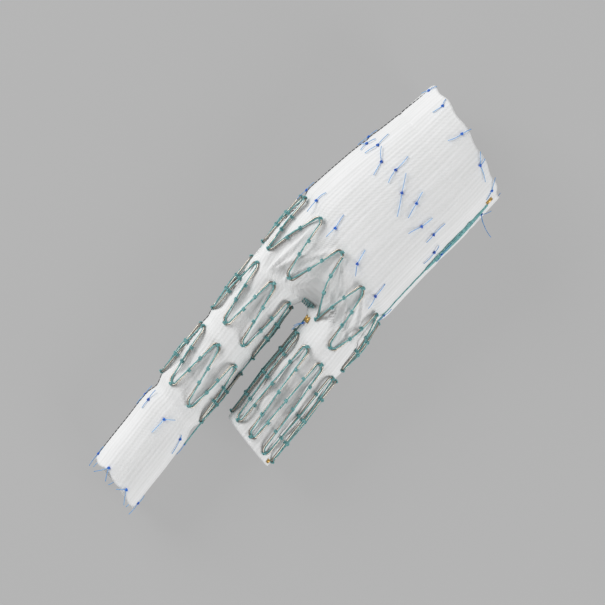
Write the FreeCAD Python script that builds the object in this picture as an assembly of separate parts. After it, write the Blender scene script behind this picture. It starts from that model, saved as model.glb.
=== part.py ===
import FreeCAD
import Part
import math
import os
from FreeCAD import Vector

# Bifurcated endovascular stent graft, lying on its side as it comes to rest on a table.
# A woven polyester tube forks into a long and a short leg. Seven zigzag wire stents hold it open:
# four sewn to the outside with braided thread, three inside whose knots show outside.
# Millimetres. The origin is the middle of the trunk's mouth, +X points out of the mouth,
# +Y is the side of the long leg and +Z is up.

# Fabric
TRUNK_RADIUS = 12.35
LEG_RADIUS = 6.15
FABRIC_WALL = 0.3
FORK_START = 34.5
CROTCH_DISTANCE = 45.5
LEG_GAP = 3.7
CROTCH_OFFSET = -0.7
LEG_DRIFT_DEG = 6.9
LONG_LEG_LENGTH = 52.5
SHORT_LEG_LENGTH = 28.9
WAIST_START = 31.0
WAIST_LENGTH = 3.2
WAIST_DEPTH = 0.6
FACETS_PER_SIDE = 30
# How much wider than round the trunk lies, and how far its middle wanders, at shares of its length
TRUNK_SHAPE = [
    (0.0, 1.0, 0.0),
    (0.3, 1.06, 0.0),
    (0.6, 1.11, 0.055),
    (0.87, 1.15, 0.075),
    (1.0, 1.165, 0.06),
]
FORK_SHARES = [0.3, 0.6, 0.84, 1.0]
FORK_ROUNDNESS = 1.6
# The wires under the fork hold the trunk's end up
TRUNK_LIFT = 0.3

# Every ring of the graft slants alike: its -Y side and its underside lie further from the mouth
RING_SLANT = 0.245
RING_TILT = 0.1

# The short leg's end is folded in and doubled, which leaves a round hole for a leg extension to seat in
FOLD_RADIUS = 5.42
FOLD_START = 17.3
FOLD_LENGTH = 9.0

# Seam along the trunk's -Y side
SEAM_START = 3.0
SEAM_END = 36.0
SEAM_WIDTH = 0.55
SEAM_FOOT_DEG = 1.6
SEAM_TIP_DEG = 1.0
SEAM_THREAD_ANGLE = -84.0
SEAM_THREAD_SPREAD = 2.8
SEAM_THREAD_STRANDS = 3

# Wire stents
WIRE_RADIUS = 0.2
OUTER_WIRE_SIDES = 5
INNER_WIRE_SIDES = 4
WIRE_CLEARANCE = 0.06
INNER_WIRE_CLEARANCE = 0.26
TRUNK_STRUT_DIP = 0.1
LEG_STRUT_DIP = 0.16
BEND_WIDTH = 0.9
TRUNK_POINTS = 11
LONG_LEG_POINTS = 7
SHORT_LEG_POINTS = 9

# Where each stent's two rows of bends lie, from the mouth or from the leg's start, and its turn
MOUTH_STENT = (1.35, 16.3, 5.5)
MIDDLE_STENT = (17.7, 32.8, 3.7)
OUTER_STENT = (34.25, 46.3, 2.4)
LEG_STENT_1 = (0.9, 13.8, -4.4)
LEG_STENT_2 = (17.7, 30.3, 5.6)
LEG_END_STENT = (36.0, 51.2, 0.0)
SHORT_STENT = (6.75, 27.5, 22.0)

# Braided thread over the outer stents
STITCH_THREAD = 0.2
STITCH_LENGTH = 0.5
STITCH_CLEARANCE = 0.03
KNOT_HEIGHT = 0.22
KNOT_LENGTH = 0.7
KNOT_WIDTH = 0.52
STITCHES_PER_STRUT = (0.33, 0.67)
SHORT_LEG_STITCHES_PER_STRUT = (0.22, 0.5, 0.78)

# Monofilament knots that hold the inner stents
FILAMENT_RADIUS = 0.08
FILAMENT_KNOT_WIDTH = 0.62
FILAMENT_KNOT_HEIGHT = 0.4
HIDDEN_TAILS = [(-2.6, 0.5), (2.2, -0.4)]
# Tails read from above, as steps in X and Y from the knot, counted from the row's top knot to +Y
ROW_TAILS = {
    "trunk_mouth_knots": {
        2: [(2.15, -0.75), (-2.1, 1.0)],
        1: [(-2.35, 0.5), (1.4, 0.5)],
        0: [(-2.9, 1.05), (2.0, -0.65)],
        -1: [(2.1, 2.15), (-1.7, -3.35)],
        -2: [(3.0, 1.85), (-2.2, -0.6)],
    },
    "trunk_upper_middle_knots": {
        1: [(-3.0, 0.7), (3.1, 0.05)],
        0: [(-2.85, -0.8), (3.65, 0.15)],
        -1: [(2.5, 0.8), (-3.25, -0.9)],
        -2: [(-2.1, -0.05), (3.2, 0.0)],
        -3: [(2.8, 0.1), (-2.2, -0.4)],
    },
    "trunk_lower_middle_knots": {
        2: [(-1.4, 1.4), (2.1, -0.7)],
        1: [(-3.0, -0.8), (2.4, 2.35)],
        0: [(3.35, 2.2), (-4.0, -2.7)],
        -1: [(-2.8, 0.9), (2.7, -0.3)],
        -2: [(-3.1, -0.05), (1.8, 0.4)],
    },
    "trunk_lower_knots": {
        1: [(-2.85, -0.3), (2.55, -0.3)],
        0: [(-2.5, 0.05), (3.1, 0.7)],
        -1: [(3.1, 0.85), (-2.0, -1.5)],
        -2: [(3.15, 0.4), (-2.75, -0.7)],
        -3: [(-1.5, 0.0), (2.15, -0.2)],
        -4: [(-1.4, -0.1), (2.2, -0.4)],
    },
    "long_leg_upper_knots": {
        1: [(-2.15, -0.3), (2.35, 0.3)],
        0: [(-3.6, -0.1), (1.5, -1.7)],
        -1: [(-3.4, -0.9), (0.9, 0.5)],
    },
    "long_leg_end_knots": {
        1: [(-2.9, -0.9), (1.6, 0.8)],
        0: [(-2.85, 1.7), (-2.4, -1.5)],
        -1: [(-1.4, 1.7), (-2.7, -1.85)],
        -2: [(-2.9, 0.35), (2.0, 0.25)],
    },
}

# Gold markers
MARKER_RADIUS = 0.3
MARKER_BORE_RADIUS = 0.14
MARKER_LENGTH = 1.6
MARKER_SIDES = 6
MARKER_SEAT = 0.02

# Whip stitches over the edge that closes the crotch
CROTCH_STITCHES = 5
CROTCH_SLOPE = 2.6

# How high the short leg's end lies above the trunk's underside, on its wires
SHORT_LEG_LIFT = 0.35

UP = Vector(0, 0, 1)


def mix(a, b, share):
    return a * (1 - share) + b * share


def faceted_solid(points, triangles):
    """A closed solid of flat triangles."""
    shape = Part.Shape()
    shape.makeShapeFromMesh((points, triangles), 0.0005)
    solid = Part.Solid(shape)
    if solid.Volume < 0:
        solid.reverse()
    return solid


def solid_through_rings(rings, closed=False):
    """A solid skinned through rings of equally many points, capped at its ends unless it closes on itself."""
    count = len(rings[0])
    points = [point for ring in rings for point in ring]
    triangles = []
    last = len(rings) if closed else len(rings) - 1
    for i in range(last):
        here = i * count
        there = ((i + 1) % len(rings)) * count
        for j in range(count):
            k = (j + 1) % count
            triangles.append((here + j, here + k, there + k))
            triangles.append((here + j, there + k, there + j))
    if not closed:
        end = (len(rings) - 1) * count
        for j in range(1, count - 1):
            triangles.append((0, j + 1, j))
            triangles.append((end, end + j, end + j + 1))
    return faceted_solid(points, triangles)


def trunk_section(distance):
    """Half width, half height and middle of the trunk, which keeps the girth of its round mouth."""
    share = min(max(distance / FORK_START, 0.0), 1.0)
    for start, end in zip(TRUNK_SHAPE, TRUNK_SHAPE[1:]):
        if share <= end[0]:
            break
    part = (share - start[0]) / (end[0] - start[0])
    half_width = TRUNK_RADIUS * mix(start[1], end[1], part)
    half_height = math.sqrt(2 * TRUNK_RADIUS ** 2 - half_width ** 2)
    height = half_height - TRUNK_RADIUS + TRUNK_LIFT * share
    middle = Vector(-distance, TRUNK_RADIUS * mix(start[2], end[2], part), height)
    return half_width, half_height, middle


class Leg:
    """The frame of one leg: its start, the direction along it, and the ones across it and up."""

    def __init__(self, side, length, end_height):
        self.side = side
        self.length = length
        drift = math.radians(LEG_DRIFT_DEG)
        self.across = Vector(-math.sin(drift), math.cos(drift), 0)
        _, _, trunk_end = trunk_section(FORK_START)
        inner_edge = CROTCH_OFFSET + side * LEG_GAP / 2
        self.start = Vector(-CROTCH_DISTANCE, inner_edge, trunk_end.z) + self.across * (side * LEG_RADIUS)
        drop = math.asin((self.start.z - end_height) / length)
        level = Vector(-math.cos(drift), -math.sin(drift), 0)
        self.along = level * math.cos(drop) - UP * math.sin(drop)
        self.up = self.across.cross(self.along) * -1
        if self.up.z < 0:
            self.up = self.up * -1

    def middle(self, distance):
        return self.start + self.along * distance

    def slanted(self, distance, across, up):
        """A point across and up from the axis, on the slanting ring that meets the axis at a distance."""
        shift = self.along * -(RING_SLANT * across + RING_TILT * up)
        return self.middle(distance) + self.across * across + self.up * up + shift


LONG_LEG = Leg(1, LONG_LEG_LENGTH, LEG_RADIUS - TRUNK_RADIUS)
SHORT_LEG = Leg(-1, SHORT_LEG_LENGTH, LEG_RADIUS - TRUNK_RADIUS + SHORT_LEG_LIFT)


def fork_station(leg, share):
    """The lobe that turns into a leg: its middle, half sizes and directions, and how far past its top it reaches."""
    half_width, half_height, trunk_middle = trunk_section(FORK_START)
    across = mix(Vector(RING_SLANT, 1, 0), leg.across, share)
    up = mix(Vector(RING_TILT, 0, 1), leg.up, share)
    middle = mix(trunk_middle, leg.start, share)
    middle.y = mix(trunk_middle.y, leg.start.y, 1 - (1 - share) ** FORK_ROUNDNESS)
    leg_edge = leg.start.y + leg.side * leg.across.y * LEG_RADIUS
    flank = abs(mix(trunk_middle.y + leg.side * half_width, leg_edge, share) - middle.y)
    valley = mix(trunk_middle.y, CROTCH_OFFSET + leg.side * LEG_GAP / 2, share)
    lean = math.asin(min(abs(middle.y - valley) / flank, 1.0))
    return middle, flank / across.y, mix(half_height, LEG_RADIUS, share), across, up, math.degrees(lean)


def fork_section(leg, share):
    """The same anywhere on the fork, where the fabric runs straight from one of its rings to the next."""
    shares = [0.0] + FORK_SHARES
    i = 0
    while share > shares[i + 1]:
        i += 1
    part = (share - shares[i]) / (shares[i + 1] - shares[i])
    before, after = fork_station(leg, shares[i]), fork_station(leg, shares[i + 1])
    return [mix(a, b, part) for a, b in zip(before, after)]


def ring_angles(leg, reach):
    """Where a half ring's points lie round it, with those that carry the seam on the -Y side."""
    angles = [-reach + 2 * reach * i / FACETS_PER_SIDE for i in range(FACETS_PER_SIDE + 1)]
    if leg is SHORT_LEG:
        middle = FACETS_PER_SIDE // 2
        angles[middle:middle + 1] = [-SEAM_FOOT_DEG, -SEAM_TIP_DEG, SEAM_TIP_DEG, SEAM_FOOT_DEG]
    return angles


def body_half_ring(leg, distance, growth):
    """One side of the body's outline, from its underside to its top, as a row of points."""
    if distance <= FORK_START:
        wide, tall, middle = trunk_section(distance)
        across = Vector(RING_SLANT, 1, 0)
        up = Vector(RING_TILT, 0, 1)
        reach = 90.0
    else:
        share = (distance - FORK_START) / (CROTCH_DISTANCE - FORK_START)
        middle, wide, tall, across, up, lean = fork_section(leg, share)
        web = math.degrees(math.asin((FABRIC_WALL + growth) / (tall + growth)))
        reach = 90.0 + lean * (90.0 - web) / 90.0
    ring = []
    for degrees in ring_angles(leg, reach):
        angle = math.radians(degrees)
        sewn = growth == 0.0 and distance < SEAM_END and abs(degrees) == SEAM_TIP_DEG
        y = leg.side * (wide + growth + SEAM_WIDTH * sewn) * math.cos(angle)
        z = (tall + growth) * math.sin(angle)
        ring.append(middle + across * y + up * z)
    return ring


def leg_ring(leg, distance, radius, growth):
    """The ring further down a leg that carries on its last one on the fork."""
    reach = 180.0 - math.degrees(math.asin((FABRIC_WALL + growth) / (LEG_RADIUS + growth)))
    ring = []
    for angle in (math.radians(degrees) for degrees in ring_angles(leg, reach)):
        across = leg.side * (radius + growth) * math.cos(angle)
        ring.append(leg.slanted(distance, across, (radius + growth) * math.sin(angle)))
    return ring


def body_rings(growth):
    """The rings of the fabric's surface, grown outwards: down the trunk, and from the crotch down each leg."""
    distances = [FORK_START * station[0] for station in TRUNK_SHAPE]
    distances += [mix(FORK_START, CROTCH_DISTANCE, share) for share in FORK_SHARES]
    trunk = []
    for distance in distances:
        long_side = body_half_ring(LONG_LEG, distance, growth)
        short_side = body_half_ring(SHORT_LEG, distance, growth)[::-1]
        trunk.append(long_side + short_side)
    waist_end = WAIST_START + WAIST_LENGTH
    long_leg = [long_side]
    for distance, radius in (
        (WAIST_START, LEG_RADIUS),
        ((WAIST_START + waist_end) / 2, LEG_RADIUS - WAIST_DEPTH),
        (waist_end, LEG_RADIUS),
        (LONG_LEG_LENGTH, LEG_RADIUS),
    ):
        long_leg.append(leg_ring(LONG_LEG, distance, radius, growth))
    short_leg = [short_side, leg_ring(SHORT_LEG, SHORT_LEG_LENGTH, LEG_RADIUS, growth)[::-1]]
    return trunk, long_leg, short_leg


def band(here, there):
    """Triangles between two closed rings of equally many points."""
    triangles = []
    for j in range(len(here)):
        k = (j + 1) % len(here)
        triangles.append((here[j], here[k], there[k]))
        triangles.append((here[j], there[k], there[j]))
    return triangles


def fabric_skin():
    """The woven tube, open at its mouth and at the ends of its legs, with its seam turned out on the trunk."""
    outside = body_rings(0.0)
    inside = body_rings(-FABRIC_WALL)
    triangles = []
    for outer, inner in zip(outside, inside):
        for i in range(len(outer) - 1):
            triangles += band(outer[i], outer[i + 1])
            triangles += [triangle[::-1] for triangle in band(inner[i], inner[i + 1])]
    triangles += band(inside[0][0], outside[0][0])
    for i in (1, 2):
        triangles += band(outside[i][-1], inside[i][-1])
    long_side, short_side = outside[1][0], outside[2][0]
    triangles.append((long_side[-1], short_side[0], short_side[-1]))
    triangles.append((long_side[-1], short_side[-1], long_side[0]))
    return merged_solid(triangles)


def folded_end():
    """The layer of fabric that lies inside the short leg."""
    foot = SHORT_LEG.middle(FOLD_START)
    outer = Part.makeCylinder(FOLD_RADIUS + FABRIC_WALL, FOLD_LENGTH, foot, SHORT_LEG.along)
    return outer.cut(Part.makeCylinder(FOLD_RADIUS, FOLD_LENGTH, foot, SHORT_LEG.along))


def merged_solid(triangles):
    """A faceted solid in which corners that fall together are one, and triangles that close up are left out."""
    places = {}
    points = []
    faces = []
    for triangle in triangles:
        corners = []
        for point in triangle:
            key = tuple(round(value, 4) for value in point)
            if key not in places:
                places[key] = len(points)
                points.append(point)
            corners.append(places[key])
        if len(set(corners)) == 3:
            faces.append(tuple(corners))
    return faceted_solid(points, faces)


def ellipse_point(middle, across, up, wide, tall, angle, growth):
    """A point on a grown oval, at an angle from its half width towards its half height, and the way out there."""
    point = middle + across * ((wide + growth) * math.cos(angle)) + up * ((tall + growth) * math.sin(angle))
    out = Vector(0, across.y * math.cos(angle) / wide, math.sin(angle) / tall)
    return point, out.normalize()


def lobe_point(leg, past, target, half_height, growth):
    """A point beside the target on the fork, or past 1 on the leg below it."""
    if past <= 1:
        middle, wide, tall, across, up, lean = fork_section(leg, past)
    else:
        middle, wide, tall = leg.middle((past - 1) * leg.length), LEG_RADIUS, LEG_RADIUS
        across, up, lean = leg.across, leg.up, 90.0
    sideways = leg.side * (target.y - middle.y) / wide
    reach = math.radians(90.0 + lean)
    angle = min(max(math.atan2((target.z - middle.z) / half_height, sideways), -reach), reach)
    return ellipse_point(middle, across * leg.side, up, wide, tall, angle, growth)


def trunk_point(distance, angle_deg, growth):
    """A point over the trunk or the fork at an angle from the top towards +Y, and the way out there."""
    angle = math.radians(90.0 - angle_deg)
    half_width, half_height, middle = trunk_section(distance)
    across = Vector(RING_SLANT, 1, 0)
    up = Vector(RING_TILT, 0, 1)
    target, out = ellipse_point(middle, across, up, half_width, half_height, angle, growth)
    if distance <= FORK_START:
        return target, out
    leg = LONG_LEG if target.y > CROTCH_OFFSET else SHORT_LEG
    low, high = 0.0, 2.0
    for _ in range(30):
        past = (low + high) / 2
        point, out = lobe_point(leg, past, target, half_height, growth)
        low, high = (past, high) if point.x > target.x else (low, past)
    return point, out


def leg_point(leg):
    """The same over a leg, at a distance from its start."""

    def point_over(distance, angle_deg, growth):
        angle = math.radians(angle_deg)
        out = leg.across * math.sin(angle) + leg.up * math.cos(angle)
        reach = LEG_RADIUS + growth
        return leg.slanted(distance, reach * math.sin(angle), reach * math.cos(angle)), out

    return point_over


def zigzag_bends(place, points, radius, stent, growth, dip):
    """The corners of a stent's wire, bend by bend, each with the way out of the fabric there."""
    near, far, turn = stent
    bends = []
    half_bend = math.degrees(BEND_WIDTH / 2 / radius)
    for i in range(2 * points):
        distance, next_distance = (near, far) if i % 2 == 0 else (far, near)
        angle = turn + 180.0 * i / points
        bend = [place(distance, angle - half_bend, growth), place(distance, angle + half_bend, growth)]
        start = distance, angle + half_bend
        end = next_distance, angle + 180.0 / points - half_bend
        bends.append(bend + strut_joints(place, start, end, growth, dip))
    return bends


def strut_joints(place, start, end, growth, dip):
    """The corners that a strut needs between its ends, so that it dips no further towards the fabric."""
    first, last = place(*start, growth)[0], place(*end, growth)[0]
    dips = []
    for share in (0.25, 0.5, 0.75):
        point, out = place(*[mix(a, b, share) for a, b in zip(start, end)], growth)
        dips.append((point - mix(first, last, share)).dot(out))
    if max(dips) <= dip:
        return []
    middle = [(a + b) / 2 for a, b in zip(start, end)]
    before = strut_joints(place, start, middle, growth, dip)
    return before + [place(*middle, growth)] + strut_joints(place, middle, end, growth, dip)


def closed_wire(bends, sides):
    """Drawn wire along the corners of its bends and struts, mitred at each, and closed on itself."""
    joints = [joint for bend in bends for joint in bend]
    rings = []
    count = len(joints)
    for i, (joint, out) in enumerate(joints):
        into = (joint - joints[i - 1][0]).normalize()
        onward = (joints[(i + 1) % count][0] - joint).normalize()
        through = (into + onward).normalize()
        top = (out - through * out.dot(through)).normalize()
        beside = through.cross(top)
        turn = onward - into
        stretch = 1 / into.dot(through) - 1
        if turn.Length > 1e-9:
            turn.normalize()
        ring = []
        for j in range(sides):
            angle = 2 * math.pi * (j + 0.5) / sides
            spoke = (top * math.cos(angle) + beside * math.sin(angle)) * WIRE_RADIUS
            ring.append(joint + spoke + turn * (spoke.dot(turn) * stretch))
        rings.append(ring)
    return solid_through_rings(rings, closed=True)


def saddle_stitch(point, along, out, height):
    """Thread that comes out of the fabric, passes over the wire and goes back in."""
    out = (out - along * out.dot(along)).normalize()
    beside = along.cross(out)
    inner = WIRE_RADIUS + STITCH_CLEARANCE
    outer = inner + STITCH_THREAD
    foot = STITCH_CLEARANCE - height
    outline = [
        (-outer, foot),
        (-inner, outer),
        (inner, outer),
        (outer, foot),
        (inner, foot),
        (inner, inner),
        (-inner, inner),
        (-inner, foot),
    ]
    corner = point - along * (STITCH_LENGTH / 2)
    points = [corner + beside * u + out * v for u, v in outline]
    return Part.Face(Part.makePolygon(points + [points[0]])).extrude(along * STITCH_LENGTH)


def tapered_block(base, out, along, beside, length, width, height):
    """A block that narrows upwards, standing on a base point."""
    rings = []
    for level, share in ((0.0, 1.0), (height, 0.5)):
        half_length = length / 2 * share
        half_width = width / 2 * share
        ring = []
        for u, v in ((1, 1), (-1, 1), (-1, -1), (1, -1)):
            ring.append(base + out * level + along * (u * half_length) + beside * (v * half_width))
        rings.append(ring)
    return solid_through_rings(rings)


def wire_knot(point, along, out):
    """A knot that lies on top of the wire."""
    out = (out - along * out.dot(along)).normalize()
    beside = along.cross(out)
    base = point + out * (WIRE_RADIUS + STITCH_CLEARANCE)
    return tapered_block(base, out, along, beside, KNOT_LENGTH, KNOT_WIDTH, KNOT_HEIGHT)


def outer_stent(place, points, radius, stent, shares, dip):
    """A zigzag wire round the outside, and the stitches that hold it."""
    growth = WIRE_RADIUS + WIRE_CLEARANCE + dip
    bends = zigzag_bends(place, points, radius, stent, growth, dip)
    stitches = []
    for i, bend in enumerate(bends):
        (first, out_first), (second, out_second) = bend[:2]
        along = (second - first).normalize()
        stitches.append(saddle_stitch((first + second) / 2, along, out_first + out_second, growth))
        strut = bend[1:] + bends[(i + 1) % len(bends)][:1]
        for share in shares:
            stitches.append(wire_knot(*along_row(strut, share)))
    return closed_wire(bends, OUTER_WIRE_SIDES), Part.makeCompound(stitches)


def along_row(row, share):
    """The point at a share of a row of straight runs, the run's direction and the way out there."""
    lengths = [b[0].distanceToPoint(a[0]) for a, b in zip(row, row[1:])]
    left = share * sum(lengths)
    for (a, out_a), (b, out_b), length in zip(row, row[1:], lengths):
        if left <= length:
            break
        left -= length
    along = (b - a).normalize()
    return a + along * left, along, mix(out_a, out_b, left / length)


def triangle_ring(point, beside, out, width, height):
    """The section of monofilament, or of a knot in it."""
    foot = point - out * (height / 2)
    return [point + out * (height / 2), foot + beside * (width / 2), foot - beside * (width / 2)]


def filament_knot(foot, out, steps):
    """A knot on the fabric between its two cut ends, which lie off along steps read from above."""
    knot = foot + out * (STITCH_CLEARANCE + FILAMENT_KNOT_HEIGHT / 2)
    tails = []
    for x, y in steps:
        step = Vector(x, y, 0)
        length = step.Length
        if out.z > 0.25:
            step.z = -(x * out.x + y * out.y) / out.z
        tails.append(((step - out * step.dot(out)).normalize(), length))
    (back, back_length), (ahead, ahead_length) = tails
    through = (ahead - back).normalize()
    thread = 2 * FILAMENT_RADIUS
    half = FILAMENT_KNOT_WIDTH / 2
    rings = [
        triangle_ring(knot + back * back_length, back.cross(out), out, thread, thread),
        triangle_ring(knot + back * half, back.cross(out), out, thread, thread),
        triangle_ring(knot, out.cross(through), out, 2 * half, FILAMENT_KNOT_HEIGHT),
        triangle_ring(knot + ahead * half, out.cross(ahead), out, thread, thread),
        triangle_ring(knot + ahead * ahead_length, out.cross(ahead), out, thread, thread),
    ]
    return solid_through_rings(rings)


def knot_row(place, points, distance, turn, tails):
    """The knots over one row of an inner stent's bends, counted round from the top."""
    knots = []
    for i in range(points):
        index = i - points // 2
        angle = turn + 360.0 * index / points
        foot, out = place(distance, angle, 0.0)
        slope = (place(distance + 1.0, angle, 0.0)[0] - foot).normalize()
        out = (out - slope * out.dot(slope)).normalize()
        knots.append(filament_knot(foot, out, tails.get(index, HIDDEN_TAILS)))
    return Part.makeCompound(knots)


def seam_threads():
    """Strands that lie beside the seam, spread in the middle of the upper stretch."""
    strands = []
    steps = 8
    for strand in range(SEAM_THREAD_STRANDS):
        lean = strand - (SEAM_THREAD_STRANDS - 1) / 2
        last = SEAM_END if lean == 0 else mix(SEAM_START, SEAM_END, 0.5)
        rings = []
        for i in range(steps + 1):
            share = i / steps
            spread = lean * SEAM_THREAD_SPREAD * (0.45 + 0.55 * math.sin(math.pi * share))
            point, _ = trunk_point(
                mix(SEAM_START, last, share), SEAM_THREAD_ANGLE + spread, STITCH_THREAD / 2 + 2 * STITCH_CLEARANCE)
            rings.append(square_ring(point, STITCH_THREAD / 2))
        strands.append(solid_through_rings(rings))
    return Part.makeCompound(strands)


def square_ring(point, half):
    """Thread's section where it runs along X."""
    return [
        point + Vector(0, 0, half),
        point + Vector(0, half, 0),
        point + Vector(0, 0, -half),
        point + Vector(0, -half, 0),
    ]


def marker(foot, out, along, length):
    """A gold tube that lies on the fabric."""
    along = (along - out * along.dot(out)).normalize()
    beside = along.cross(out)
    middle = foot + out * (MARKER_RADIUS + MARKER_SEAT)
    faces = []
    for radius in (MARKER_RADIUS, MARKER_BORE_RADIUS):
        ring = []
        for j in range(MARKER_SIDES):
            angle = 2 * math.pi * (j + 0.5) / MARKER_SIDES
            spoke = out * math.cos(angle) + beside * math.sin(angle)
            ring.append(middle - along * (length / 2) + spoke * radius)
        faces.append(Part.Face(Part.makePolygon(ring + [ring[0]])))
    return faces[0].cut(faces[1]).extrude(along * length).Solids[0]


def crotch_stitches():
    """Thread wrapped over the edge where the front and the back of the trunk are sewn together."""
    stitches = []
    _, _, trunk_end = trunk_section(FORK_START)
    half = FABRIC_WALL + STITCH_CLEARANCE
    back = 2 * STITCH_THREAD
    rise = CROTCH_SLOPE * back
    width = LEG_GAP / CROTCH_STITCHES
    for i in range(CROTCH_STITCHES):
        y = CROTCH_OFFSET - LEG_GAP / 2 + width * (i + 0.5)
        edge = Vector(-CROTCH_DISTANCE - STITCH_CLEARANCE, y - STITCH_THREAD / 2, trunk_end.z)
        outline = [
            (back, half + rise),
            (back, half + rise + STITCH_THREAD),
            (-STITCH_THREAD, half + STITCH_THREAD),
            (-STITCH_THREAD, -half - STITCH_THREAD),
            (back, -half - rise - STITCH_THREAD),
            (back, -half - rise),
            (0, -half),
            (0, half),
        ]
        points = [edge + Vector(u, 0, v) for u, v in outline]
        face = Part.Face(Part.makePolygon(points + [points[0]]))
        stitches.append(face.extrude(Vector(0, STITCH_THREAD, 0)))
    return stitches


def export(name, shape):
    print(name, shape.isValid(), len(shape.Solids), round(shape.Volume, 3))
    shape.exportStep("parts/" + name + ".step")


def main():
    os.makedirs("parts", exist_ok=True)
    export("graft_fabric", Part.makeCompound([fabric_skin(), folded_end()]))
    over_long = leg_point(LONG_LEG)
    over_short = leg_point(SHORT_LEG)

    trunk = (trunk_point, TRUNK_POINTS, TRUNK_RADIUS)
    long_leg = (over_long, LONG_LEG_POINTS, LEG_RADIUS)
    short_leg = (over_short, SHORT_LEG_POINTS, LEG_RADIUS)
    outer = {
        "trunk_outer_stent": (*trunk, OUTER_STENT, STITCHES_PER_STRUT, TRUNK_STRUT_DIP),
        "long_leg_upper_stent": (*long_leg, LEG_STENT_1, STITCHES_PER_STRUT, LEG_STRUT_DIP),
        "long_leg_lower_stent": (*long_leg, LEG_STENT_2, STITCHES_PER_STRUT, LEG_STRUT_DIP),
        "short_leg_stent": (*short_leg, SHORT_STENT, SHORT_LEG_STITCHES_PER_STRUT, LEG_STRUT_DIP),
    }
    for name, values in outer.items():
        wire, stitches = outer_stent(*values)
        export(name, wire)
        export(name + "_stitches", stitches)

    inner_growth = -FABRIC_WALL - INNER_WIRE_CLEARANCE - WIRE_RADIUS
    for name, wall, stent in (
        ("trunk_mouth_stent", trunk, MOUTH_STENT),
        ("trunk_middle_stent", trunk, MIDDLE_STENT),
        ("long_leg_end_stent", long_leg, LEG_END_STENT),
    ):
        bends = zigzag_bends(*wall, stent, inner_growth, 1.0)
        export(name, closed_wire(bends, INNER_WIRE_SIDES))

    for place, points, stent, near_row, far_row in (
        (trunk_point, TRUNK_POINTS, MOUTH_STENT, "trunk_mouth_knots", "trunk_upper_middle_knots"),
        (trunk_point, TRUNK_POINTS, MIDDLE_STENT, "trunk_lower_middle_knots", "trunk_lower_knots"),
        (over_long, LONG_LEG_POINTS, LEG_END_STENT, "long_leg_upper_knots", "long_leg_end_knots"),
    ):
        near, far, turn = stent
        export(near_row, knot_row(place, points, near, turn, ROW_TAILS[near_row]))
        export(far_row, knot_row(place, points, far, turn + 180.0 / points, ROW_TAILS[far_row]))

    export("crotch_stitches", Part.makeCompound(crotch_stitches()))
    export("seam_threads", seam_threads())

    export("mouth_marker", marker(*trunk_point(2.6, -70.0, 0.0), Vector(1, 0.1, 0), MARKER_LENGTH))
    pair = [marker(*over_short(2.9, angle, 0.0), SHORT_LEG.along, 0.8 * MARKER_LENGTH) for angle in (66, 74)]
    export("crotch_markers", Part.makeCompound(pair))
    export("short_leg_marker", marker(*over_short(28.0, -60.0, 0.0), SHORT_LEG.along, 0.5 * MARKER_LENGTH))


main()
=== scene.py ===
# Bifurcated endovascular stent graft, dressed over its plain solids.
# Sizes are in millimetres and turn into metres as each mesh is made. The origin is the middle of the
# trunk's mouth, +X points out of the mouth, +Y is the long leg's side and +Z is up.
import math

import bpy
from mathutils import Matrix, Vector, noise


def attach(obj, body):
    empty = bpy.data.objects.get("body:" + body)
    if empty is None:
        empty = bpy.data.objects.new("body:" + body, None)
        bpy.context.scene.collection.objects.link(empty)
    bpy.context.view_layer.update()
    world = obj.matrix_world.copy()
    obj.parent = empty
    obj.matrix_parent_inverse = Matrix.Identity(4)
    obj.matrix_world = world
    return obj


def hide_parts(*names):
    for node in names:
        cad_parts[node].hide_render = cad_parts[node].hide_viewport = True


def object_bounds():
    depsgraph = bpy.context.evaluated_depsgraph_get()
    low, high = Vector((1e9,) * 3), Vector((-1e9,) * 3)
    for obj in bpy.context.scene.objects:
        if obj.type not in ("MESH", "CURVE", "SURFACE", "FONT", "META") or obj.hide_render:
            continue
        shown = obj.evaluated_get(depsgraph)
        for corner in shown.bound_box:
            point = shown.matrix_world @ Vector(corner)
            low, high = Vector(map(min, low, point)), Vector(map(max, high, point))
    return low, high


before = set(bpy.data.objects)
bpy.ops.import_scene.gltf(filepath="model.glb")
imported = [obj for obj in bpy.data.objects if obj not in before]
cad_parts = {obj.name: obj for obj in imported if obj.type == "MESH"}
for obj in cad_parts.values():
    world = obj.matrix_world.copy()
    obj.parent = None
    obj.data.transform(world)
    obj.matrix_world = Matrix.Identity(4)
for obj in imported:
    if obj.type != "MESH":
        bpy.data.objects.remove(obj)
plain_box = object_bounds()
MM = 0.001

# Camera
# It looks straight down on the table, turned so that the trunk's mouth is at the upper right.
# A long lens from far off leaves almost no perspective.
VIEW_MIDDLE = (-45.7, -0.07)
VIEW_WIDTH = 121.0
LENS = 300.0
SENSOR = 36.0
camera = bpy.data.objects.new("camera", bpy.data.cameras.new("camera"))
camera.data.lens = LENS
camera.data.sensor_width = SENSOR
camera.location = (VIEW_MIDDLE[0] * MM, VIEW_MIDDLE[1] * MM, VIEW_WIDTH * MM * LENS / SENSOR)
camera.rotation_euler = (0, 0, math.radians(-45))
camera.data.clip_start = 0.01
bpy.context.collection.objects.link(camera)
bpy.context.scene.camera = camera


# Table and light
# A plain grey table at the height that the graft rests on, lit from within so that shadows stay faint, and
# a large low soft lamp on each side of the graft, the stronger one on the long leg's side.
class Field:
    """A value or colour that changes over a surface."""

    def __init__(self, finish, socket):
        self.finish = finish
        self.socket = socket

    def math(self, operation, *others):
        return self.finish.add("ShaderNodeMath", {"operation": operation}, [self, *others])

    def __add__(self, other):
        return self.math("ADD", other)

    def __mul__(self, other):
        return self.math("MULTIPLY", other)


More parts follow.
